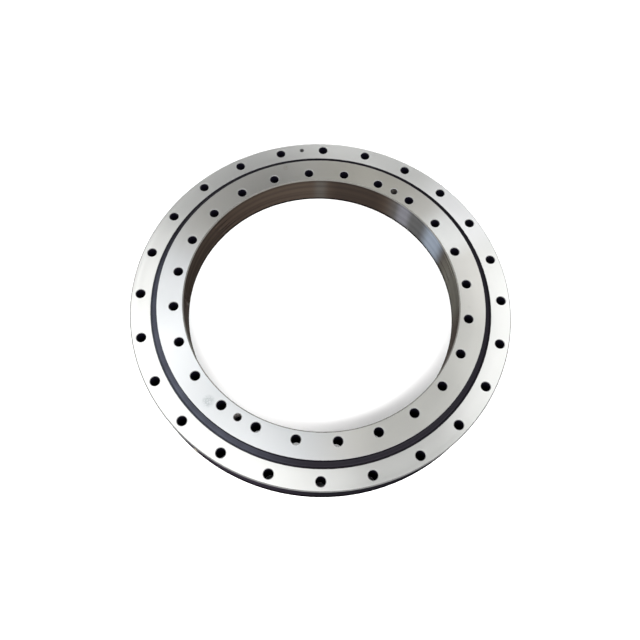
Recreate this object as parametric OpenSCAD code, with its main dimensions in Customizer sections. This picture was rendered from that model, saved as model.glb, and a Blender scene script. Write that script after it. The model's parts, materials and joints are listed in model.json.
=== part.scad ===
// Slewing ring bearing without teeth: one row of balls in four-point contact between two bolted rings.
// The origin is on the turning axis, in the outer ring's lower face. +Z points up, out of the inner ring's top face.

/* [Rings] */
// Outside diameter of the outer ring
outer_ring_diameter = 732; // [724:1:740]
// Bore diameter of the inner ring
inner_ring_bore = 528; // [520:1:536]
// Height of each ring
ring_height = 70; // [66:1:74]
// Height of the inner ring's top face above the outer ring's top face
ring_offset = 10; // [8:1:12]
// Gap between the two rings' facing walls
ring_gap = 2; // [1.5:0.5:2.5]
// Chamfer along the outside and bore edges of the rings
rim_chamfer = 2; // [1:0.5:3]
// Chamfer along the edges beside the gap and the seals
gap_chamfer = 0.5; // [0.3:0.1:0.8]
// Angle by which the inner ring stands turned from the outer ring
inner_ring_turn = 6; // [0:0.5:14.5]

/* [Bolt holes] */
// Bolt circle diameter of the outer ring
outer_bolt_circle = 696; // [692:1:700]
// Bolt circle diameter of the inner ring
inner_bolt_circle = 564; // [560:1:568]
// Number of bolt holes in each ring
bolt_count = 24; // [20:4:28]
// Diameter of each bolt hole
bolt_hole_diameter = 18; // [14:1:20]
// Chamfer at both ends of each bolt hole
bolt_hole_chamfer = 1; // [0.5:0.5:1.5]

/* [Lifting holes] */
// Major diameter of the thread in the two lifting holes of the inner ring
lifting_thread_diameter = 14; // [12:1:16]
// Depth to which the lifting holes are threaded
lifting_thread_depth = 24; // [20:1:32]
// Depth of the drilled tail below the thread, without its pointed end
lifting_drill_tail = 6; // [4:1:8]

/* [Ball row] */
// Pitch circle diameter of the ball row
ball_circle = 630; // [629:0.5:631]
// Diameter of each ball
ball_diameter = 30; // [29:0.5:30]
// Number of balls
ball_count = 56; // [48:2:56]
// Radius of the raceway arcs as a share of the ball diameter
groove_ratio = 0.525; // [0.52:0.005:0.54]
// Contact angle of the gothic-arch raceways
contact_angle = 45; // [40:1:50]
// Clearance between a ball and each raceway arc, and between a ball and its spacers
ball_clearance = 0.25; // [0.2:0.05:0.4]
// Outside diameter of each spacer
spacer_diameter = 22; // [20:1:24]
// Length of each spacer over its rims
spacer_length = 12; // [11:0.5:13]
// Diameter of the grease hole through each spacer
spacer_bore = 8; // [6:1:10]

/* [Seals] */
// Width of the recess that holds a seal, measured from the ring's facing wall
seal_recess_width = 11; // [10.5:0.5:12]
// Depth of the seal recess
seal_recess_depth = 8; // [8:0.5:9]
// Clearance between the seal lip and the wall that it wipes
seal_lip_clearance = 0.3; // [0.2:0.05:0.4]

/* [Loading plug] */
// Diameter of the plug that closes the hole through which the balls are loaded
plug_diameter = 32; // [32:0.5:34]
// Distance of the plug's outer face below the ring's outside
plug_inset = 0.8; // [0.6:0.1:1.2]
// Major diameter of the pulling thread in the plug's outer face
plug_thread_diameter = 8; // [6:1:8]
// Depth of the plug's pulling thread
plug_thread_depth = 10; // [8:1:11]
// Diameter of the taper pin at its thin end
pin_diameter = 8; // [6:1:8]
// Length of the taper pin
pin_length = 60; // [50:1:60]
// Length of pin in which its diameter grows by one
pin_taper = 50; // [40:5:60]
// Major diameter of the pulling thread in the pin's thick end
pin_thread_diameter = 5; // [4:1:5]
// Depth of the pin's pulling thread
pin_thread_depth = 12; // [8:1:16]
// Distance of the pin's thick end below the ring's top face
pin_inset = 0.6; // [0.4:0.1:1]

/* [Grease nipples] */
// Number of grease nipples around the outer ring
nipple_count = 4; // [2:2:4]
// Major diameter of the nipple thread
nipple_thread_diameter = 10; // [10:1:12]
// Length of the nipple thread
nipple_thread_length = 8; // [7:0.5:8]
// Width of the nipple's hexagon across flats
nipple_hexagon = 11; // [11:0.5:13]
// Height of the nipple's hexagon
nipple_head_height = 4.5; // [4.5:0.5:5]
// Diameter of the counterbore that sinks a nipple below the ring's outside
port_diameter = 18; // [18:1:20]
// Depth of that counterbore
port_depth = 6; // [6:0.5:7]
// Diameter of the grease channel from a nipple to the raceway
channel_diameter = 6; // [4:0.5:6]
// Diameter of a nipple's check ball
check_ball_diameter = 3; // [3:0.1:3.2]
// Wire diameter of a nipple's spring
spring_wire = 0.44; // [0.4:0.02:0.5]
// Number of turns of a nipple's spring
spring_turns = 5; // [4:1:6]

/* [Hidden] */
NIPPLES = [for (i = [1 : nipple_count]) i];

ring_facets = 180;  // facets of the large turned faces
hole_facets = 48;   // facets of holes, pins and balls
past = 1;           // how far a cut runs past the face that it opens
fit = 0.02;         // radial clearance of pieces that fit in one another
countersink = 1;    // how far a lifting hole's countersink stands outside its thread, and its depth
core_depth = 1;     // from a lifting thread's major radius to its core
thread_runout = 2;  // length of a port's thread past the end of its nipple
channel_reach = 2;  // how far a grease channel runs into the ball track
tail_step = 0.3;    // from the taper pin's thin end in to the tail of its drill

outer_radius = outer_ring_diameter / 2;
pitch_radius = ball_circle / 2;
seal_side = (ring_height - ring_offset) / 2;   // from the ball plane to a ring's sealed face
plain_side = (ring_height + ring_offset) / 2;  // from the ball plane to a ring's other face
ball_plane = plain_side;
outer_section_depth = outer_radius - pitch_radius;
inner_section_depth = pitch_radius - inner_ring_bore / 2;
wall = ring_gap / 2;                           // from the pitch circle to a ring's facing wall
recess_wall = wall + seal_recess_width;

bolt_pitch = 360 / bolt_count;
plug_angle = 90 + bolt_pitch / 2;
port_angle = 3.5 * bolt_pitch;
lifting_angle = 3.5 * bolt_pitch;

// Gothic arch: the two arc centres lie off the ball centre, along the two contact lines
arc_offset = (groove_ratio - 0.5) * ball_diameter;
arc_radius = groove_ratio * ball_diameter + ball_clearance;

// Seal section, as distances from the recess wall towards the gap and down from the ring's face
bead_reach = 3;
bead_top = 3.6;
bead_bottom = 6.9;
bead_play = 0.3;
seal_play = 0.2;
lip_reach = seal_recess_width + ring_gap - seal_lip_clearance;

// Drill point of 118 degrees, as depth for each unit of radius
drill_point = 1 / tan(59);

pin_top = ring_height - pin_inset;
pin_bottom = pin_top - pin_length;
pin_circle_radius = outer_bolt_circle / 2 + 1;
pin_drill_tail = 4;
plug_edge = 1;

// Inside of a nipple, measured down from the ring's outside
head_top = port_depth - nipple_head_height;
funnel_radius = 3.4;
throat_radius = 0.8;
throat_top = head_top + funnel_radius - throat_radius;
seat_top = throat_top + 0.6;
chamber_radius = 2.1;
seat_bottom = seat_top + chamber_radius - throat_radius;
chamber_bottom = port_depth + nipple_thread_length - 0.8;
rear_radius = 1.3;
check_ball_radius = check_ball_diameter / 2;
seat_play = 0.03;
check_ball_depth = seat_top - throat_radius + (check_ball_radius + seat_play) * sqrt(2);
spring_radius = 1.35;
spring_side = spring_wire / 2 + seat_play;
spring_top = check_ball_depth + sqrt(pow(check_ball_radius + spring_side, 2) - pow(spring_radius, 2));
spring_bottom = chamber_bottom - spring_side;
wire_sides = 6;
turn_steps = 12;

// Repeats its children at equal angles about the turning axis
module around(count) {
    for (i = [0 : count - 1])
        rotate([0, 0, i * 360 / count]) children();
}

// Stands its children on a radial line in the ball plane: their Z is the distance from the turning axis
module radial(angle) {
    rotate([0, 0, angle]) translate([0, 0, ball_plane]) rotate([0, 90, 0]) children();
}

// Puts its children in a grease port: their Z is zero at the ring's outside and points out
module in_port(i) {
    radial(port_angle + i * 360 / nipple_count) translate([0, 0, outer_radius]) children();
}

// Section of the ball track in one ring: the overlap of the two arcs' discs
module raceway_section() {
    intersection_for (side = [-1, 1])
        translate([-arc_offset * cos(contact_angle), side * arc_offset * sin(contact_angle)])
            circle(r = arc_radius, $fn = 2 * hole_facets);
}

// Section of a ring from the pitch circle into its metal, with the sealed face up
module ring_section(depth) {
    difference() {
        polygon([
            [wall, gap_chamfer - plain_side],
            [wall + gap_chamfer, -plain_side],
            [depth - rim_chamfer, -plain_side],
            [depth, rim_chamfer - plain_side],
            [depth, seal_side - rim_chamfer],
            [depth - rim_chamfer, seal_side],
            [recess_wall + gap_chamfer, seal_side],
            [recess_wall, seal_side - gap_chamfer],
            [recess_wall, seal_side - bead_top],
            [recess_wall + bead_reach, seal_side - bead_top],
            [recess_wall + bead_reach, seal_side - bead_bottom],
            [recess_wall, seal_side - bead_bottom],
            [recess_wall, seal_side - seal_recess_depth],
            [wall, seal_side - seal_recess_depth]
        ]);
        raceway_section();
    }
}

// Section of a seal in the same place: bead, foot, flexing groove, body and lip
module seal_section() {
    bead_end = bead_play - bead_reach;
    foot_depth = 2.1;
    groove_depth = 3.9;
    base_depth = seal_recess_depth - bead_play;
    translate([recess_wall, seal_side]) mirror([1, 1]) polygon([
        [bead_bottom - bead_play, bead_end],
        [bead_top + bead_play, bead_end],
        [bead_top + bead_play, seal_play],
        [foot_depth, seal_play],
        [foot_depth, 1.5],
        [groove_depth, 2.1],
        [groove_depth, 2.9],
        [0.9, 3.8],
        [0.6, 5],
        [0.6, 8.5],
        [0.2, lip_reach - 0.6],
        [0.4, lip_reach],
        [1.1, lip_reach],
        [4.4, 9.4],
        [4.9, 8.4],
        [base_depth, 8.4],
        [base_depth, seal_play],
        [bead_bottom - bead_play, seal_play]
    ]);
}

// Turns a section about the axis: upright for the outer ring's side, upside down for the inner ring's
module turned(flip) {
    translate([0, 0, ball_plane])
        rotate_extrude($fn = ring_facets)
            translate([pitch_radius, 0]) rotate(flip ? 180 : 0) children();
}

// Bolt hole through a ring whose lower face is at Z = 0, chamfered at both ends
module bolt_hole() {
    r = bolt_hole_diameter / 2;
    c = bolt_hole_chamfer;
    translate([0, 0, -past]) cylinder(h = ring_height + 2 * past, r = r, $fn = hole_facets);
    translate([0, 0, -c]) cylinder(h = 2 * c, r1 = r + 2 * c, r2 = r, $fn = hole_facets);
    translate([0, 0, ring_height - c]) cylinder(h = 2 * c, r1 = r, r2 = r + 2 * c, $fn = hole_facets);
}

// Blind threaded hole down from Z = 0: countersink, thread at its major diameter, drilled tail and drill point
module lifting_hole() {
    r = lifting_thread_diameter / 2;
    drill = r - core_depth;
    bottom = lifting_thread_depth + lifting_drill_tail;
    translate([0, 0, -countersink])
        cylinder(h = 2 * countersink, r1 = r, r2 = r + 2 * countersink, $fn = hole_facets);
    translate([0, 0, -lifting_thread_depth]) cylinder(h = lifting_thread_depth + past, r = r, $fn = hole_facets);
    translate([0, 0, -bottom]) cylinder(h = bottom, r = drill, $fn = hole_facets);
    translate([0, 0, -bottom - drill * drill_point])
        cylinder(h = drill * drill_point, r1 = 0, r2 = drill, $fn = hole_facets);
}

// Counterbore, threaded hole and channel of a grease port
module port_cut() {
    thread_end = port_depth + nipple_thread_length + thread_runout;
    translate([0, 0, -port_depth]) cylinder(h = port_depth + past, d = port_diameter, $fn = hole_facets);
    translate([0, 0, -thread_end])
        cylinder(h = thread_end, d = nipple_thread_diameter, $fn = hole_facets);
    translate([0, 0, ball_diameter / 2 - outer_section_depth - channel_reach])
        cylinder(h = outer_section_depth - ball_diameter / 2, d = channel_diameter, $fn = hole_facets);
}

// Taper hole for the pin, down from the outer ring's top face, with the tail of its drill
module taper_hole() {
    length = ring_height + past - pin_bottom;
    thin = pin_diameter / 2 + fit;
    rotate([0, 0, plug_angle]) translate([pin_circle_radius, 0, pin_bottom]) {
        cylinder(h = length, r1 = thin, r2 = thin + length / pin_taper / 2, $fn = hole_facets);
        translate([0, 0, -pin_drill_tail])
            cylinder(h = pin_drill_tail + past, r = pin_diameter / 2 - tail_step, $fn = hole_facets);
    }
}

module outer_ring() {
    color("silver") difference() {
        turned(false) ring_section(outer_section_depth);
        around(bolt_count) translate([outer_bolt_circle / 2, 0, 0]) bolt_hole();
        for (i = NIPPLES) in_port(i) port_cut();
        radial(plug_angle) translate([0, 0, pitch_radius])
            cylinder(h = outer_section_depth + past, d = plug_diameter, $fn = 2 * hole_facets);
        taper_hole();
    }
}

module inner_ring() {
    color("lightgray") rotate([0, 0, inner_ring_turn]) difference() {
        turned(true) ring_section(inner_section_depth);
        around(bolt_count) translate([inner_bolt_circle / 2, 0, ring_offset]) bolt_hole();
        for (turn = [0, 180])
            rotate([0, 0, lifting_angle + turn])
                translate([inner_bolt_circle / 2, 0, ring_height + ring_offset]) lifting_hole();
    }
}

module upper_seal() {
    color("darkslategray") turned(false) seal_section();
}

module lower_seal() {
    color("darkslategray") turned(true) seal_section();
}

// Plug across the outer ring's section, whose inner end carries the raceway on
module loading_plug() {
    face = outer_radius - plug_inset;
    r = plug_diameter / 2 - fit;
    color("gray") difference() {
        intersection() {
            radial(plug_angle) {
                translate([0, 0, pitch_radius])
                    cylinder(h = face - plug_edge - pitch_radius, r = r, $fn = 2 * hole_facets);
                translate([0, 0, face - plug_edge])
                    cylinder(h = plug_edge, r1 = r, r2 = r - plug_edge, $fn = 2 * hole_facets);
            }
            turned(false) ring_section(outer_section_depth);
        }
        radial(plug_angle) translate([0, 0, face - plug_thread_depth])
            cylinder(h = plug_thread_depth + past, d = plug_thread_diameter, $fn = hole_facets);
        taper_hole();
    }
}

module plug_taper_pin() {
    thin = pin_diameter / 2;
    thick = thin + pin_length / pin_taper / 2;
    edge = 0.6;
    color("dimgray") rotate([0, 0, plug_angle]) translate([pin_circle_radius, 0, pin_bottom])
        difference() {
            union() {
                cylinder(h = pin_length - edge, r1 = thin, r2 = thick - edge / pin_taper / 2, $fn = hole_facets);
                translate([0, 0, pin_length - edge])
                    cylinder(h = edge, r1 = thick - edge / pin_taper / 2, r2 = thick - edge, $fn = hole_facets);
            }
            translate([0, 0, pin_length - pin_thread_depth])
                cylinder(h = pin_thread_depth + past, d = pin_thread_diameter, $fn = hole_facets);
        }
}

module balls() {
    color("gainsboro") translate([0, 0, ball_plane])
        around(ball_count) translate([pitch_radius, 0, 0]) sphere(d = ball_diameter, $fn = 2 * hole_facets);
}

// Spacers between the balls, with a hollow seat for a ball in each end
module ball_spacers() {
    half_pitch = 180 / ball_count;
    seat = ball_diameter / 2 + ball_clearance;
    color("ivory") translate([0, 0, ball_plane])
        around(ball_count)
            difference() {
                rotate([0, 0, half_pitch]) translate([pitch_radius * cos(half_pitch), 0, 0]) rotate([90, 0, 0]) {
                    difference() {
                        cylinder(h = spacer_length, d = spacer_diameter, center = true, $fn = hole_facets);
                        cylinder(h = spacer_length + past, d = spacer_bore, center = true, $fn = hole_facets);
                    }
                }
                for (side = [0, 1])
                    rotate([0, 0, side * 2 * half_pitch]) translate([pitch_radius, 0, 0])
                        sphere(r = seat, $fn = 2 * hole_facets);
            }
}

// Threaded body with a hexagon, a filling funnel, the ball's seat and the spring's chamber
module grease_nipple_body(i) {
    color("goldenrod") in_port(i) difference() {
        union() {
            translate([0, 0, -port_depth - nipple_thread_length])
                cylinder(h = nipple_thread_length, d = nipple_thread_diameter - 2 * fit, $fn = hole_facets);
            translate([0, 0, -port_depth])
                cylinder(h = nipple_head_height, d = nipple_hexagon / cos(30), $fn = 6);
        }
        translate([0, 0, -throat_top])
            cylinder(
                h = throat_top - head_top + past,
                r1 = throat_radius,
                r2 = funnel_radius + past,
                $fn = hole_facets
            );
        translate([0, 0, -seat_top - past])
            cylinder(h = seat_top - throat_top + 2 * past, r = throat_radius, $fn = hole_facets);
        translate([0, 0, -seat_bottom])
            cylinder(h = seat_bottom - seat_top, r1 = chamber_radius, r2 = throat_radius, $fn = hole_facets);
        translate([0, 0, -chamber_bottom])
            cylinder(h = chamber_bottom - seat_bottom, r = chamber_radius, $fn = hole_facets);
        translate([0, 0, -port_depth - nipple_thread_length - past])
            cylinder(h = nipple_thread_length + past, r = rear_radius, $fn = hole_facets);
    }
}

module grease_nipple_ball(i) {
    color("silver") in_port(i) translate([0, 0, -check_ball_depth])
        sphere(d = check_ball_diameter, $fn = hole_facets);
}

// Wire swept along a helix from behind the check ball to the chamber's shoulder
module grease_nipple_spring(i) {
    steps = spring_turns * turn_steps;
    points = [
        for (k = [0 : steps], s = [0 : wire_sides - 1])
            let (
                turn = 360 * k / turn_steps,
                round = 360 * s / wire_sides,
                r = spring_radius + spring_wire / 2 * cos(round),
                rise = (spring_bottom - spring_top) * k / steps
            )
            [r * cos(turn), r * sin(turn), rise - spring_bottom + spring_wire / 2 * sin(round)]
    ];
    sides = [
        for (k = [0 : steps - 1], s = [0 : wire_sides - 1])
            let (a = k * wire_sides, next = (s + 1) % wire_sides)
            [a + s, a + next, a + wire_sides + next, a + wire_sides + s]
    ];
    start = [for (s = [wire_sides - 1 : -1 : 0]) s];
    end = [for (s = [0 : wire_sides - 1]) steps * wire_sides + s];
    color("darkgray") in_port(i) polyhedron(points = points, faces = concat([start], sides, [end]));
}

outer_ring();
inner_ring();
upper_seal();
lower_seal();
loading_plug();
plug_taper_pin();
balls();
ball_spacers();
for (i = NIPPLES) {
    grease_nipple_body(i);
    grease_nipple_ball(i);
    grease_nipple_spring(i);
}
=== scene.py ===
"""Looks of an untoothed slewing ring bearing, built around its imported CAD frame. Lengths are in metres."""

import json
import math

import bmesh
import bpy
from mathutils import Matrix, Quaternion, Vector


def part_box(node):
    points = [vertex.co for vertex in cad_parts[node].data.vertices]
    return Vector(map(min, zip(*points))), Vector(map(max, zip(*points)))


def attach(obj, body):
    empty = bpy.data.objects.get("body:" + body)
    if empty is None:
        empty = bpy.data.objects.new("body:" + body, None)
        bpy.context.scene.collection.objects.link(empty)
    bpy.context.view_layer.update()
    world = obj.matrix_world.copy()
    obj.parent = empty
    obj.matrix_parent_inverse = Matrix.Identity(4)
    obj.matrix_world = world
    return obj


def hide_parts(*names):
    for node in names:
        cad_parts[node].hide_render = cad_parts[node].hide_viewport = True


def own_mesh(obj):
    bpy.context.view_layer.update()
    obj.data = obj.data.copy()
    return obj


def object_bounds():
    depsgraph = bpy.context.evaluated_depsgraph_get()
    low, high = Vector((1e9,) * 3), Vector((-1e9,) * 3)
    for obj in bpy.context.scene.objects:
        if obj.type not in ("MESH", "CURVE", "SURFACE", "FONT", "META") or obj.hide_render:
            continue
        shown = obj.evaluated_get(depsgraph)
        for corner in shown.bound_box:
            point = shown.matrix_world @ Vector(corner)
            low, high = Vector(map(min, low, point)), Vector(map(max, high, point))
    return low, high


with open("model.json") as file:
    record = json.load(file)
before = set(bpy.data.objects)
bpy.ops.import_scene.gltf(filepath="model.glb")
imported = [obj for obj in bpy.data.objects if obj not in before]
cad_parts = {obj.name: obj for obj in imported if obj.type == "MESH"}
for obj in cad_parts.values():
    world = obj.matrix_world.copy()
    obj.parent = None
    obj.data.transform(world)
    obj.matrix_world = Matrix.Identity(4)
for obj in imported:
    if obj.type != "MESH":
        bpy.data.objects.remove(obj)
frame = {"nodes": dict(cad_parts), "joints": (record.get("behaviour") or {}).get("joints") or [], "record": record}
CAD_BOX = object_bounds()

MM = 0.001
MOUNTS = {mount["name"]: mount for mount in frame["record"]["mounts"]}
OUTER_RADIUS = MOUNTS["outer_spigot"]["dims"]["r_mm"] * MM
BORE_RADIUS = MOUNTS["centre_bore"]["dims"]["r_mm"] * MM
BALL_PLANE = frame["joints"][0]["pos_m"][2]
OUTER_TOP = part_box("outer_ring")[1].z
INNER_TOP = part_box("inner_ring")[1].z
TAU = 2 * math.pi
# Sockets of the Mix node that carry colours
MIX_COLOUR_A, MIX_COLOUR_B, MIX_COLOUR_OUT = 6, 7, 2


# ---------------------------------------------------------------- node materials

class Paint:
    """A material built by short calls. A value is a number, a colour, a vector or another node's socket."""

    def __init__(self, name, **fixed):
        """fixed sets the shader's own sockets: specular_ior_level is the one labelled Specular IOR Level."""
        self.material = bpy.data.materials.new(name)
        self.material.use_nodes = True
        self.tree = self.material.node_tree
        self.shader = self.tree.nodes["Principled BSDF"]
        for key, value in fixed.items():
            self.shader.inputs[key.replace("_", " ").title().replace("Ior", "IOR")].default_value = value
        self.place = self.node("TexCoord").outputs["Object"]
        self.facing = self.node("TexCoord").outputs["Normal"]

    def node(self, kind, **settings):
        made = self.tree.nodes.new("ShaderNode" + kind)
        for key, value in settings.items():
            setattr(made, key, value)
        return made

    def feed(self, socket, value):
        if isinstance(value, bpy.types.NodeSocket):
            self.tree.links.new(value, socket)
        elif hasattr(value, "__len__") and len(value) == 3 and socket.type == "RGBA":
            socket.default_value = (*value, 1)
        else:
            socket.default_value = value

    def math(self, operation, a, b=0.0, clamp=False):
        made = self.node("Math", operation=operation, use_clamp=clamp)
        for socket, value in zip(made.inputs, (a, b)):
            self.feed(socket, value)
        return made.outputs[0]

    def ramp(self, value, low, high, at_low=0.0, at_high=1.0):
        """A smooth step from at_low where value is low to at_high where it is high."""
        made = self.node("MapRange", interpolation_type="SMOOTHSTEP")
        for socket, x in zip(made.inputs, (value, low, high, at_low, at_high)):
            self.feed(socket, x)
        return made.outputs[0]

    def split(self, vector):
        made = self.node("SeparateXYZ")
        self.feed(made.inputs[0], vector)
        return made.outputs

    def join(self, x, y, z):
        made = self.node("CombineXYZ")
        for socket, value in zip(made.inputs, (x, y, z)):
            self.feed(socket, value)
        return made.outputs[0]

    def noise(self, vector, scale, detail=2.0, rough=0.5):
        made = self.node("TexNoise")
        self.feed(made.inputs["Vector"], vector)
        made.inputs["Scale"].default_value = scale
        made.inputs["Detail"].default_value = detail
        made.inputs["Roughness"].default_value = rough
        return made.outputs["Fac"]

    def mix(self, share, a, b):
        made = self.node("Mix", data_type="RGBA")
        self.feed(made.inputs["Factor"], share)
        self.feed(made.inputs[MIX_COLOUR_A], a)
        self.feed(made.inputs[MIX_COLOUR_B], b)
        return made.outputs[MIX_COLOUR_OUT]

    def bump(self, height, distance, strength, under=None):
        made = self.node("Bump")
        made.inputs["Strength"].default_value = strength
        made.inputs["Distance"].default_value = distance
        self.feed(made.inputs["Height"], height)
        if under is not None:
            self.feed(made.inputs["Normal"], under)
        return made.outputs[0]

    def radius(self):
        """Distance from the turning axis."""
        x, y, _ = self.split(self.place)
        return self.math("SQRT", self.math("ADD", self.math("MULTIPLY", x, x), self.math("MULTIPLY", y, y)))

    def spot(self, radius, degrees, height, size, soft):
        """1 inside a round mark on the ring, 0 outside it."""
        turn = math.radians(degrees)
        made = self.node("VectorMath", operation="DISTANCE")
        self.feed(made.inputs[0], self.place)
        made.inputs[1].default_value = (radius * math.cos(turn), radius * math.sin(turn), height)
        return self.ramp(made.outputs["Value"], size, size + soft, 1.0, 0.0)

    def band(self, turn, degrees, half_width, soft):
        """1 on the stretch of the ring around that angle, 0 beyond its soft ends."""
        off = self.math("ARCCOSINE", self.math("COSINE", self.math("SUBTRACT", turn, math.radians(degrees))))
        return self.ramp(off, math.radians(half_width), math.radians(half_width + soft), 1.0, 0.0)

    def finish(self, colour, roughness, normal=None):
        self.feed(self.shader.inputs["Base Color"], colour)
        self.feed(self.shader.inputs["Roughness"], roughness)
        if normal is not None:
            self.feed(self.shader.inputs["Normal"], normal)
        return self.material


OUTER_FACE_STEEL = ((0.66, 0.665, 0.65), (0.56, 0.565, 0.55))
INNER_FACE_STEEL = ((0.58, 0.575, 0.55), (0.47, 0.465, 0.43))
OUTER_RIM_STEEL = (0.10, 0.10, 0.10)
BORE_RIM_STEEL = (0.12, 0.118, 0.11)
HOLE_EDGE_STEEL = (0.20, 0.20, 0.20)
OUTER_WALL_STEEL = (0.014, 0.011, 0.016)
BORE_WALL_STEEL = (0.060, 0.047, 0.038)
# Nearly black: painted shade in holes and gaps, and the dark of the random streaks on the walls
HOLE_SHADE_AND_STREAK_STEEL = (0.004, 0.0035, 0.007)
# Painted shade along the lower edge of the walls; on the bore it stands for the shadow under the inner ring
DARK_LOWER_EDGE = (0.003, 0.0025, 0.003)
LOW_SPECULAR_TINT = (0.15, 0.15, 0.15, 1)

# Noise scales, in cells per metre
FINE_GROOVES = 2200
BROAD_GROOVES = 260
WALL_STREAKS = 120
STAIN_VEINS = 380
CLOUDS = 14
SMALL_PART_GROOVES = 2600
# Metres of groove pattern per radian of turn: a small value draws the grooves out round the axis
GROOVE_DRAG = 2 * MM
# Distance from the wall over which a surface stops counting as that wall, and as the rim beside it
WALL_REACH = (1.2 * MM, 3 * MM)
RIM_REACH = (3 * MM, 4 * MM)
# Upright part of the surface normal over which a wall turns into a chamfer, and a chamfer into a face
SLOPED_FROM = (0.35, 0.6)
FLAT_FROM = (0.8, 0.95)


def ring_steel(name, ring, face_colours, wall, marks, wall_painted_light, face_painted_light):
    """Turned steel: bright faces, dull rims and hole edges, and dark oiled walls; walls of holes and gaps are
    painted nearly black as painted shade.

    wall is radius, colour, rim colour, metal share, and height of the darker band along its lower edge, painted
    shade that on the bore stands for the shadow under the inner ring.
    Each mark is a stain on the face: (radius, degrees, height), size, soft edge, tint, share.
    Each wall stretch is painted light or shade on an upright stretch of the wall: degrees, half width, soft end,
    tint.
    Each face stretch is painted light or shade on a stretch of the face, stated in the same way.
    """
    wall_radius, wall_colour, rim_colour, wall_metal, dark_edge_height = wall
    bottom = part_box(ring)[0].z
    p = Paint(name, anisotropic=0.75, specular_ior_level=0.0, specular_tint=LOW_SPECULAR_TINT)
    tangent = p.node("Tangent", direction_type="RADIAL", axis="Z")
    p.feed(p.shader.inputs["Tangent"], tangent.outputs[0])

    radius = p.radius()
    x, y, z = p.split(p.place)
    turn = p.math("ARCTAN2", y, x)
    groove_place = p.join(radius, p.math("MULTIPLY", turn, GROOVE_DRAG), z)
    fine = p.noise(groove_place, FINE_GROOVES)
    broad = p.noise(groove_place, BROAD_GROOVES, 3.0)
    cloud = p.noise(p.place, CLOUDS, 4.0)
    level = p.math("ABSOLUTE", p.split(p.facing)[2])
    sloped = p.ramp(level, *SLOPED_FROM)
    flat = p.ramp(level, *FLAT_FROM)
    off_wall = p.math("ABSOLUTE", p.math("SUBTRACT", radius, wall_radius))
    at_wall = p.ramp(off_wall, *WALL_REACH, 1.0, 0.0)
    rim = p.ramp(off_wall, *RIM_REACH, 1.0, 0.0)

    # Painted light and shade on the wall: lighter and darker stretches round the ring
    wall_shade = wall_colour
    for *stretch, tint in wall_painted_light:
        wall_shade = p.mix(p.band(turn, *stretch), wall_shade, tint)
    streaks = p.ramp(p.noise(groove_place, WALL_STREAKS, 3.0), 0.35, 0.75, 0.0, 0.45)
    wall_shade = p.mix(streaks, wall_shade, HOLE_SHADE_AND_STREAK_STEEL)
    # Painted shade: the wall darkens towards its lower edge; on the bore this is the painted shadow under the
    # inner ring
    dark_lower_edge = p.ramp(z, bottom + 0.7 * dark_edge_height, bottom + dark_edge_height, 1.0, 0.0)
    wall_shade = p.mix(dark_lower_edge, wall_shade, DARK_LOWER_EDGE)

    face_shade = p.mix(p.math("MULTIPLY", cloud, 0.35), *face_colours)
    # Painted light and shade on the face: lighter and darker stretches round the ring
    for *stretch, tint in face_painted_light:
        face_shade = p.mix(p.band(turn, *stretch), face_shade, tint)
    veins = p.ramp(p.noise(p.place, STAIN_VEINS, 6.0, 0.65), 0.38, 0.6, 0.1, 1.0)
    for place, size, soft, tint, share in marks:
        inside = p.math("MULTIPLY", p.spot(*place, size, soft), veins)
        face_shade = p.mix(p.math("MULTIPLY", inside, share), face_shade, tint)

    # Painted shade: upright surfaces away from the main wall, in holes and gaps, are painted nearly black
    upright_shade = p.mix(at_wall, HOLE_SHADE_AND_STREAK_STEEL, wall_shade)
    edge_shade = p.mix(rim, HOLE_EDGE_STEEL, rim_colour)
    colour = p.mix(flat, p.mix(sloped, upright_shade, edge_shade), face_shade)
    dull_part = p.math("MAXIMUM", sloped, dark_lower_edge)
    metal_wall = p.math("MULTIPLY", p.math("SUBTRACT", at_wall, dull_part, clamp=True), wall_metal)
    p.feed(p.shader.inputs["Metallic"], p.math("MAXIMUM", flat, metal_wall))
    worn = p.math("ADD", p.math("MULTIPLY", broad, 0.08), p.math("MULTIPLY", cloud, 0.06))
    roughness = p.math("ADD", p.ramp(level, *SLOPED_FROM, 0.33, 0.27), worn)
    grooves = p.bump(fine, 0.02 * MM, 0.35)
    return p.finish(colour, roughness, p.bump(broad, 0.03 * MM, 0.3, grooves))


def seal_rubber():
    """Matt nitrile rubber with fine moulding grain, painted lighter bluish grey on one side as painted light,
    broken by a random mottle.
    """
    # Side of the seal that is painted lighter as painted light
    painted_light_angle = math.radians(210)
    p = Paint("seal_rubber_looks", specular_ior_level=0.08)
    x, y, _ = p.split(p.place)
    along_x = p.math("MULTIPLY", x, math.cos(painted_light_angle))
    along_y = p.math("MULTIPLY", y, math.sin(painted_light_angle))
    side = p.ramp(p.math("ADD", along_x, along_y), 0.45 * OUTER_RADIUS, 0.92 * OUTER_RADIUS)
    grain = p.noise(p.place, 1800, 3.0)
    mottle = p.noise(p.place, 30, 4.0)
    # Painted light: lighter bluish grey on one side, broken by a random mottle
    mottle_and_painted_light = p.math("MULTIPLY", side, p.ramp(mottle, 0.2, 0.8, 0.6, 1.0))
    colour = p.mix(mottle_and_painted_light, (0.007, 0.006, 0.009), (0.050, 0.054, 0.071))
    roughness = p.ramp(mottle, 0.3, 0.7, 0.42, 0.56)
    return p.finish(colour, roughness, p.bump(grain, 0.05 * MM, 0.25))


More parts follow.
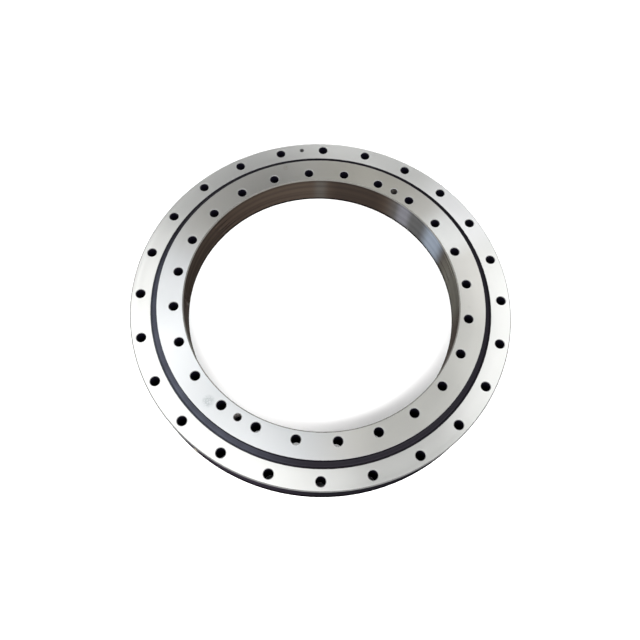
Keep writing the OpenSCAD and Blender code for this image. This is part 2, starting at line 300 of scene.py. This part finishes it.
def turned_metal(name, colour, darker, roughness, centre, axis):
    """Metal turned about its own axis, through centre: fine grooves and a slightly uneven tone."""
    p = Paint(name, metallic=1.0)
    along = Vector(axis).normalized()
    shifted = p.node("VectorMath", operation="SUBTRACT")
    p.feed(shifted.inputs[0], p.place)
    shifted.inputs[1].default_value = centre
    distance = p.node("VectorMath", operation="DOT_PRODUCT")
    p.feed(distance.inputs[0], shifted.outputs[0])
    distance.inputs[1].default_value = along
    length = p.node("VectorMath", operation="LENGTH")
    p.feed(length.inputs[0], shifted.outputs[0])
    level = distance.outputs["Value"]
    total = length.outputs["Value"]
    squared = p.math("SUBTRACT", p.math("MULTIPLY", total, total), p.math("MULTIPLY", level, level))
    off_axis = p.math("SQRT", p.math("MAXIMUM", squared, 0.0))
    marks = p.noise(p.join(off_axis, level, 0.0), SMALL_PART_GROOVES)
    tone = p.noise(p.place, 90, 3.0)
    rough = p.math("ADD", roughness, p.math("MULTIPLY", marks, 0.1))
    return p.finish(p.mix(tone, colour, darker), rough, p.bump(marks, 0.03 * MM, 0.4))


def polished_steel(name):
    """Bearing steel polished bright, with a thin uneven grease film."""
    p = Paint(name, metallic=1.0)
    film = p.noise(p.place, 60, 4.0)
    lines = p.noise(p.place, 900)
    colour = p.mix(film, (0.80, 0.80, 0.79), (0.66, 0.655, 0.63))
    return p.finish(colour, p.ramp(film, 0.3, 0.7, 0.07, 0.16), p.bump(lines, 0.005 * MM, 0.2))


def spacer_nylon():
    """Natural moulded nylon, slightly translucent."""
    p = Paint("spacer_nylon_looks", subsurface_weight=0.15, subsurface_scale=4 * MM, specular_ior_level=0.5)
    tone = p.noise(p.place, 70, 4.0)
    grain = p.noise(p.place, 1500)
    colour = p.mix(tone, (0.82, 0.78, 0.66), (0.72, 0.67, 0.54))
    return p.finish(colour, p.ramp(tone, 0.3, 0.7, 0.38, 0.5), p.bump(grain, 0.04 * MM, 0.3))


def paint_all(names, material):
    for name in names:
        data = frame["nodes"][name].data
        data.materials.clear()
        data.materials.append(material)


def centre_of(node):
    low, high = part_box(node)
    return (low + high) / 2


def outward(point):
    """Unit radial direction through a point."""
    return Vector((point.x, point.y, 0)).normalized()


NIPPLES = range(1, 1 + sum(name.startswith("grease_nipple_body_") for name in frame["nodes"]))
# What ring_steel takes for each ring; its docstring says what the columns are
OUTER_WALL = (OUTER_RADIUS, OUTER_WALL_STEEL, OUTER_RIM_STEEL, 0.04, 28 * MM)
BORE_WALL = (BORE_RADIUS, BORE_WALL_STEEL, BORE_RIM_STEEL, 0.6, 8 * MM)
# Painted shade: a darker stretch of the outer wall, round -72 degrees
OUTER_WALL_PAINTED_SHADE = ((-72, 14, 24, (0.005, 0.0045, 0.006)),)
# Painted light and shade on the bore wall, as lighter and darker stretches round the inner ring; the narrow
# blue-grey ones at 31 and 50 degrees are painted highlights
BORE_WALL_PAINTED_LIGHT = (
    (8, 6, 18, (0.125, 0.120, 0.105)),
    (40, 10, 12, (0.09, 0.09, 0.09)),
    (31, 2, 7, (0.22, 0.25, 0.295)),
    (50, 1, 4, (0.15, 0.15, 0.165)),
    (74, 8, 10, (0.038, 0.030, 0.025)),
    (91, 0.5, 4, (0.070, 0.063, 0.056)),
)
# Painted light and shade on the faces: lighter and darker stretches round each ring
OUTER_FACE_PAINTED_LIGHT = (
    (36, 6, 13, (0.78, 0.785, 0.79)),
    (297, 10, 14, (0.55, 0.555, 0.54)),
)
INNER_FACE_PAINTED_LIGHT = (
    (30, 4, 10, (0.70, 0.71, 0.70)),
    (72, 6, 30, (0.42, 0.41, 0.37)),
    (215, 45, 25, (0.565, 0.58, 0.59)),
    (318, 25, 15, (0.49, 0.49, 0.465)),
)
OUTER_STEEL = ring_steel("outer_ring_steel_looks", "outer_ring", OUTER_FACE_STEEL, OUTER_WALL, (),
                         OUTER_WALL_PAINTED_SHADE, OUTER_FACE_PAINTED_LIGHT)
BROWN, GREY, SLATE = (0.30, 0.25, 0.19), (0.42, 0.43, 0.42), (0.26, 0.29, 0.30)
INNER_MARKS = (
    ((303 * MM, 105, INNER_TOP), 3 * MM, 4 * MM, BROWN, 0.35),
    ((281.6 * MM, -4, INNER_TOP), 1.5 * MM, 3 * MM, GREY, 0.4),
    ((306 * MM, -36, INNER_TOP), 4 * MM, 5 * MM, GREY, 0.25),
    ((292 * MM, 226.6, INNER_TOP), 5 * MM, 9 * MM, SLATE, 0.6),
)
INNER_STEEL = ring_steel("inner_ring_steel_looks", "inner_ring", INNER_FACE_STEEL, BORE_WALL, INNER_MARKS,
                         BORE_WALL_PAINTED_LIGHT, INNER_FACE_PAINTED_LIGHT)
paint_all(["outer_ring"], OUTER_STEEL)
paint_all(["inner_ring"], INNER_STEEL)
paint_all(["upper_seal", "lower_seal"], seal_rubber())
paint_all(["balls"], polished_steel("ball_steel_looks"))
paint_all(["ball_spacers"], spacer_nylon())
plug_centre = centre_of("loading_plug")
paint_all(["loading_plug"], turned_metal("plug_steel_looks", (0.34, 0.34, 0.33), (0.25, 0.25, 0.24), 0.34,
                                         plug_centre, outward(plug_centre)))
paint_all(["plug_taper_pin"], turned_metal("pin_steel_looks", (0.20, 0.20, 0.20), (0.13, 0.13, 0.14), 0.3,
                                           centre_of("plug_taper_pin"), (0, 0, 1)))
CHECK_BALL_STEEL = polished_steel("check_ball_steel_looks")
for i in NIPPLES:
    port = centre_of(f"grease_nipple_body_{i}")
    paint_all([f"grease_nipple_body_{i}"], turned_metal(f"nipple_brass_looks_{i}", (0.74, 0.55, 0.25),
                                                        (0.62, 0.44, 0.19), 0.24, port, outward(port)))
    paint_all([f"grease_nipple_ball_{i}"], CHECK_BALL_STEEL)
    paint_all([f"grease_nipple_spring_{i}"], turned_metal(f"spring_steel_looks_{i}", (0.48, 0.48, 0.49),
                                                          (0.38, 0.38, 0.40), 0.25, port, outward(port)))


# ---------------------------------------------------------------- pieces that the CAD keeps plain

PLUG_ANGLE = math.radians(97.5)
PLUG_FACE = OUTER_RADIUS - 0.8 * MM
PIN_RADIUS = 349 * MM
PIN_FACE = OUTER_TOP - 0.6 * MM


def port_angle(i):
    return math.radians(52.5 + 90 * i)


def radial_place(turn, radius):
    """Local Z points out from the turning axis, with its zero at that radius in the ball plane."""
    out = Vector((math.cos(turn), math.sin(turn), 0))
    side = Vector((-math.sin(turn), math.cos(turn), 0))
    axes = Matrix((side, Vector((0, 0, 1)), out)).transposed().to_4x4()
    return Matrix.Translation((*(out * radius).xy, BALL_PLANE)) @ axes


def upright_place(turn, radius, height):
    return Matrix.Translation((radius * math.cos(turn), radius * math.sin(turn), height))


def loft(name, rings, place, material, closed=False, smooth_below=35):
    """A skin over rings of points, shaded smooth across edges of less than smooth_below degrees.

    closed joins the last ring to the first. Without it, both ends are capped.
    """
    mesh = bmesh.new()
    loops = [[mesh.verts.new(point) for point in ring] for ring in rings]
    following = loops[1:] + loops[:1] if closed else loops[1:]
    for a, b in zip(loops, following):
        for j in range(len(a)):
            k = (j + 1) % len(a)
            mesh.faces.new((a[j], a[k], b[k], b[j]))
    if not closed:
        mesh.faces.new(loops[0])
        mesh.faces.new(loops[-1])
    bmesh.ops.recalc_face_normals(mesh, faces=mesh.faces)
    for edge in mesh.edges:
        edge.smooth = edge.calc_face_angle(0) < math.radians(smooth_below)
    for face in mesh.faces:
        face.smooth = True
    mesh.transform(place)
    data = bpy.data.meshes.new(name)
    mesh.to_mesh(data)
    mesh.free()
    data.materials.append(material)
    piece = bpy.data.objects.new(name, data)
    bpy.context.scene.collection.objects.link(piece)
    return piece


def coil_rings(section, rise, turns, steps):
    """Rings of points for a coil round local Z that climbs by rise in each turn.

    section(share) gives the coil's outline there as (radius, height) points, at that share of its length.
    """
    rings = []
    count = round(turns * steps)
    for k in range(count + 1):
        turn = TAU * k / steps
        level = rise * k / steps
        around = Vector((math.cos(turn), math.sin(turn), 0))
        rings.append([around * r + Vector((0, 0, h + level)) for r, h in section(k / count)])
    return rings


def inside_thread(name, place, major, pitch, depth, start):
    """Ridge of an internal metric thread, from start to depth below local zero, faded out at both ends."""
    ridge_height = 0.54 * pitch
    foot, tip = 0.43 * pitch, 0.12 * pitch
    root = major + 0.06 * MM
    turns = (depth - start) / pitch - 1

    def section(share):
        full = min(1.0, 10 * share, 10 * (1 - share))
        crest = major - ridge_height * max(full, 0.05)
        return [(root, -foot), (crest, -tip), (crest, tip), (root, foot)]

    bottom = place @ Matrix.Translation((0, 0, pitch / 2 - depth))
    return loft(name, coil_rings(section, pitch, turns, 40), bottom, THREAD_STEEL, smooth_below=20)


def smooth_spring(i):
    """Round wire coil of a nipple, from behind the check ball to the chamber's shoulder.

    Local zero is on the outer ring's wall, so top and bottom are depths below it.
    """
    mean, wire, turns = 1.35 * MM, 0.22 * MM, 5
    top, bottom = -7.18 * MM, -12.95 * MM
    circle = [(mean + wire * math.cos(TAU * k / 12), wire * math.sin(TAU * k / 12)) for k in range(12)]
    rings = coil_rings(lambda share: circle, (top - bottom) / turns, turns, 36)
    turn = port_angle(i)
    place = radial_place(turn, OUTER_RADIUS) @ Matrix.Translation((0, 0, bottom))
    steel = frame["nodes"][f"grease_nipple_spring_{i}"].active_material
    piece = loft(f"spring_wire_{i}", rings, place, steel)
    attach(piece, "outer_ring")
    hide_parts(f"grease_nipple_spring_{i}")
    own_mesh(piece)


def nipple_body(i):
    """Funnel nipple: chamfered hexagon, filling funnel, ball seat, spring chamber and screwed shank."""
    steps = 144
    turns = [TAU * k / steps for k in range(steps)]
    half_across_flats = 5.5 * MM
    head_top, head_bottom, end = -1.5 * MM, -6 * MM, -14 * MM
    chamfer_radius, chamfer_slope = 5.3 * MM, 0.577
    funnel, throat, chamber, outlet = 3.4 * MM, 0.8 * MM, 2.1 * MM, 1.3 * MM
    thread_crest, thread_root, shank_end = 4.98 * MM, 4.42 * MM, 4.4 * MM
    pitch, thread_turns = 1 * MM, 7

    def round_ring(radius, height):
        return [(radius * math.cos(turn), radius * math.sin(turn), height) for turn in turns]

    def hexagon_ring(height_at):
        ring = []
        for turn in turns:
            r = half_across_flats / math.cos((turn + TAU / 12) % (TAU / 6) - TAU / 12)
            ring.append((r * math.cos(turn), r * math.sin(turn), height_at(r)))
        return ring

    rings = [
        round_ring(funnel, head_top),
        round_ring(throat, head_top - 2.6 * MM),
        round_ring(throat, head_top - 3.2 * MM),
        round_ring(chamber, head_top - 4.5 * MM),
        round_ring(chamber, end + 0.8 * MM),
        round_ring(outlet, end + 0.8 * MM),
        round_ring(outlet, end),
        round_ring(shank_end, end),
    ]
    for k in range(thread_turns):
        level = end + 0.6 * MM + k * pitch
        rings += [round_ring(thread_crest, level), round_ring(thread_root, level + pitch / 2)]
    rings += [
        round_ring(thread_root, head_bottom),
        hexagon_ring(lambda r: head_bottom),
        hexagon_ring(lambda r: head_top - (r - chamfer_radius) * chamfer_slope),
        round_ring(chamfer_radius, head_top),
    ]
    brass = frame["nodes"][f"grease_nipple_body_{i}"].active_material
    place = radial_place(port_angle(i), OUTER_RADIUS)
    piece = loft(f"nipple_{i}", rings, place, brass, closed=True, smooth_below=25)
    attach(piece, "outer_ring")
    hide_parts(f"grease_nipple_body_{i}")


def painted_shade_thread_steel(name):
    """Tapped steel painted nearly black as painted shade in its hole, with a random tone."""
    p = Paint(name, metallic=0.3, specular_ior_level=0.2)
    tone = p.noise(p.place, 800, 3.0)
    colour = p.mix(tone, (0.006, 0.005, 0.004), (0.020, 0.016, 0.013))
    return p.finish(colour, p.ramp(tone, 0.3, 0.7, 0.25, 0.4), p.bump(tone, 0.02 * MM, 0.3))


THREAD_STEEL = painted_shade_thread_steel("thread_steel_looks")
for k in (1, 2):
    x, y, _ = MOUNTS[f"lifting_thread_{k}"]["pos_m"]
    at_hole = Matrix.Translation((x, y, INNER_TOP))
    ridge = inside_thread(f"lifting_thread_ridge_{k}", at_hole, major=7 * MM, pitch=2 * MM, depth=24 * MM,
                          start=1 * MM)
    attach(ridge, "inner_ring")
plug_end = radial_place(PLUG_ANGLE, PLUG_FACE)
plug_ridge = inside_thread("plug_thread_ridge", plug_end, major=4 * MM, pitch=1.25 * MM, depth=10 * MM,
                           start=0)
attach(plug_ridge, "outer_ring")
pin_end = upright_place(PLUG_ANGLE, PIN_RADIUS, PIN_FACE)
pin_ridge = inside_thread("pin_thread_ridge", pin_end, major=2.5 * MM, pitch=0.8 * MM, depth=12 * MM, start=0)
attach(pin_ridge, "outer_ring")
for i in NIPPLES:
    smooth_spring(i)
    nipple_body(i)


# ---------------------------------------------------------------- camera, floor and light

AIM = Vector((-0.0036, -0.048, OUTER_TOP))
CAMERA_DISTANCE = 1.173
CAMERA_AZIMUTH = math.radians(3.64)
CAMERA_ELEVATION = math.radians(67.0)
CAMERA_ROLL = math.radians(4.43)
LENS_MM, SENSOR_MM = 34.74, 36.0


def make_camera():
    data = bpy.data.cameras.new("camera")
    data.lens, data.sensor_width = LENS_MM, SENSOR_MM
    camera = bpy.data.objects.new("camera", data)
    level = math.cos(CAMERA_ELEVATION)
    forward = Vector((
        math.sin(CAMERA_AZIMUTH) * level,
        math.cos(CAMERA_AZIMUTH) * level,
        -math.sin(CAMERA_ELEVATION),
    ))
    camera.location = AIM - forward * CAMERA_DISTANCE
    camera.rotation_mode = "QUATERNION"
    camera.rotation_quaternion = forward.to_track_quat("-Z", "Y") @ Quaternion((0, 0, 1), CAMERA_ROLL)
    bpy.context.scene.collection.objects.link(camera)
    bpy.context.scene.camera = camera


def make_floor():
    half = 6.0  # metres, from the middle to each side
    mesh = bpy.data.meshes.new("floor")
    bottom = CAD_BOX[0].z
    corners = [(-half, -half, bottom), (half, -half, bottom), (half, half, bottom), (-half, half, bottom)]
    mesh.from_pydata(corners, [], [(0, 1, 2, 3)])
    floor = bpy.data.objects.new("floor", mesh)
    bpy.context.scene.collection.objects.link(floor)
    p = Paint("floor_paper")
    grain = p.noise(p.place, 40, 3.0)
    mesh.materials.append(p.finish(p.mix(grain, (0.93, 0.93, 0.93), (0.91, 0.91, 0.91)), 0.7))


BOX_SIZE = 1.2
BOX_DISTANCE = 2.6
WORLD_STRENGTH = 0.2
# Name, degrees from +X as seen from the ring's middle, degrees above the floor, watts
LIGHTS = (
    ("back_left_box", 120, 25, 40),
    ("back_box", 90, 25, 10),
    ("right_box", 30, 50, 8),
    ("overhead_box", 180, 75, 10),
    ("front_left_box", 225, 25, 60),
    ("front_box", 270, 50, 80),
    ("front_right_box", 330, 50, 50),
)


def soft_light(name, azimuth, elevation, power):
    """A square soft box that faces the ring's middle."""
    data = bpy.data.lights.new(name, "AREA")
    data.shape, data.size, data.energy = "SQUARE", BOX_SIZE, power
    light = bpy.data.objects.new(name, data)
    turn, rise = math.radians(azimuth), math.radians(elevation)
    away = Vector((math.cos(turn) * math.cos(rise), math.sin(turn) * math.cos(rise), math.sin(rise)))
    light.location = away * BOX_DISTANCE
    light.rotation_mode = "QUATERNION"
    light.rotation_quaternion = (-away).to_track_quat("-Z", "Y")
    bpy.context.scene.collection.objects.link(light)


def make_light():
    world = bpy.data.worlds.new("studio")
    bpy.context.scene.world = world
    world.use_nodes = True
    background = world.node_tree.nodes["Background"]
    background.inputs["Color"].default_value = (1, 1, 1, 1)
    background.inputs["Strength"].default_value = WORLD_STRENGTH
    for light in LIGHTS:
        soft_light(*light)
    bpy.context.scene.view_settings.view_transform = "Standard"


make_camera()
make_floor()
make_light()
